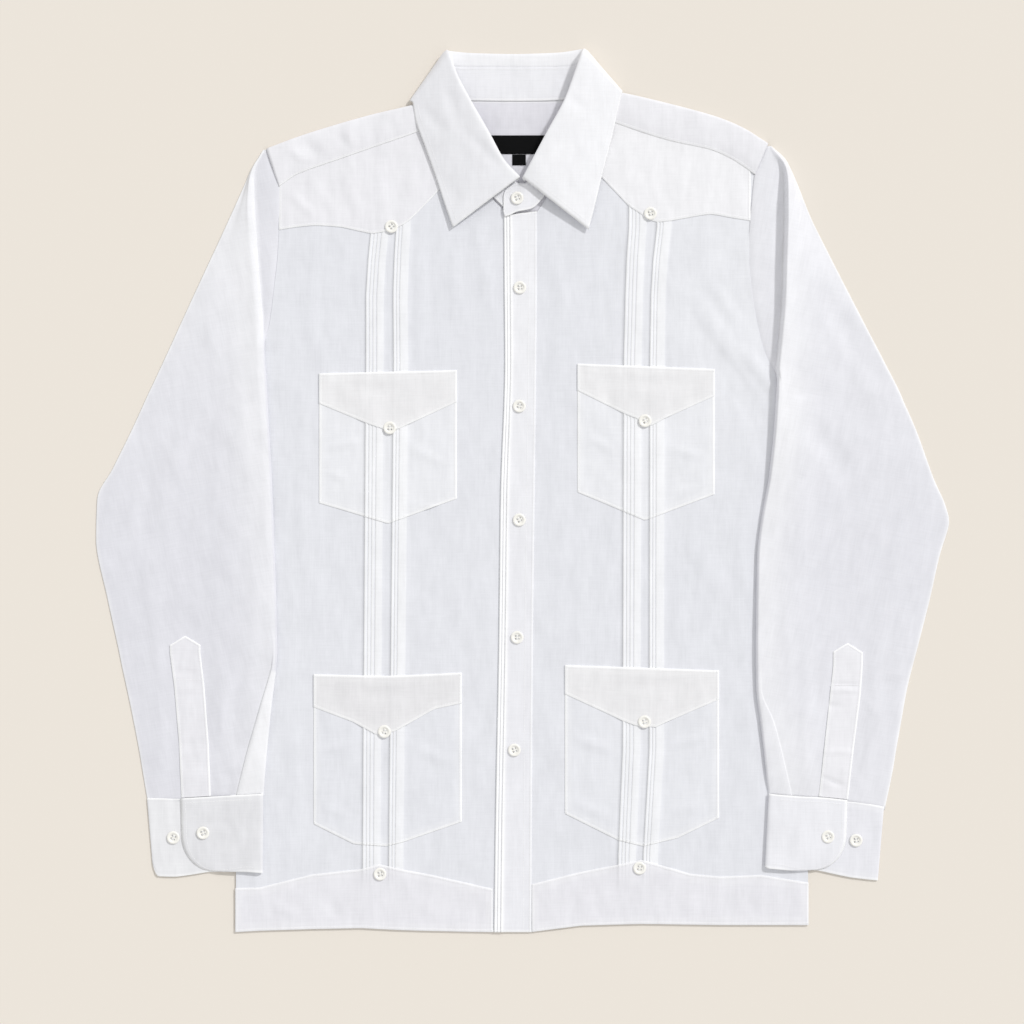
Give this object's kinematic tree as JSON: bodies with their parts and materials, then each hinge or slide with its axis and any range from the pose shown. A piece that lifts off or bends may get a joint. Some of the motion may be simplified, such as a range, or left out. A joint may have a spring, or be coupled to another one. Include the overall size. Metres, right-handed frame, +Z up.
{
  "type": "guayabera shirt",
  "caption": "Long-sleeved white linen shirt with patch pockets, tucked fronts and pointed yokes, laid flat and face up with its sleeves down.",
  "frame": {"origin": "under the middle of the outline, on the surface the shirt lies on", "axes": "+X towards the wearer's left, +Y from hem to collar, +Z up, away from the surface"},
  "size_m": [0.7846, 0.812, 0.0152],
  "materials": {
    "linen": "washed white linen, one layer, matt with a faint slub",
    "linen_double": "white linen, doubled and topstitched",
    "linen_stiff": "white linen over a stiff interlining, topstitched",
    "label_black": "woven black tape, bare",
    "button_pearl": "off-white pearly resin, half gloss"
  },
  "bodies": {
    "root": {"back": "linen", "back_yoke": "linen_double", "front_right": "linen", "front_left": "linen", "front_yoke_right": "linen_double", "front_yoke_left": "linen_double", "placket": "linen_stiff", "hem_band_right": "linen_double", "hem_band_left": "linen_double", "pocket_chest_right": "linen", "pocket_chest_left": "linen", "pocket_waist_right": "linen", "pocket_waist_left": "linen", "pocket_band_chest_right": "linen_double", "pocket_band_chest_left": "linen_double", "pocket_band_waist_right": "linen_double", "pocket_band_waist_left": "linen_double", "sleeve_right": "linen", "sleeve_left": "linen", "sleeve_placket_right": "linen_double", "sleeve_placket_left": "linen_double", "cuff_right": "linen_stiff", "cuff_left": "linen_stiff", "collar_stand": "linen_stiff", "collar_leaf": "linen_stiff", "neck_label": "label_black", "size_tab": "label_black", "button_collar": "button_pearl", "button_front_1": "button_pearl", "button_front_2": "button_pearl", "button_front_3": "button_pearl", "button_front_4": "button_pearl", "button_front_5": "button_pearl", "button_yoke_right": "button_pearl", "button_yoke_left": "button_pearl", "button_pocket_chest_right": "button_pearl", "button_pocket_chest_left": "button_pearl", "button_pocket_waist_right": "button_pearl", "button_pocket_waist_left": "button_pearl", "button_hem_right": "button_pearl", "button_hem_left": "button_pearl", "button_cuff_right_upper": "button_pearl", "button_cuff_right_under": "button_pearl", "button_cuff_left_upper": "button_pearl", "button_cuff_left_under": "button_pearl"}
  },
  "joints": []
}
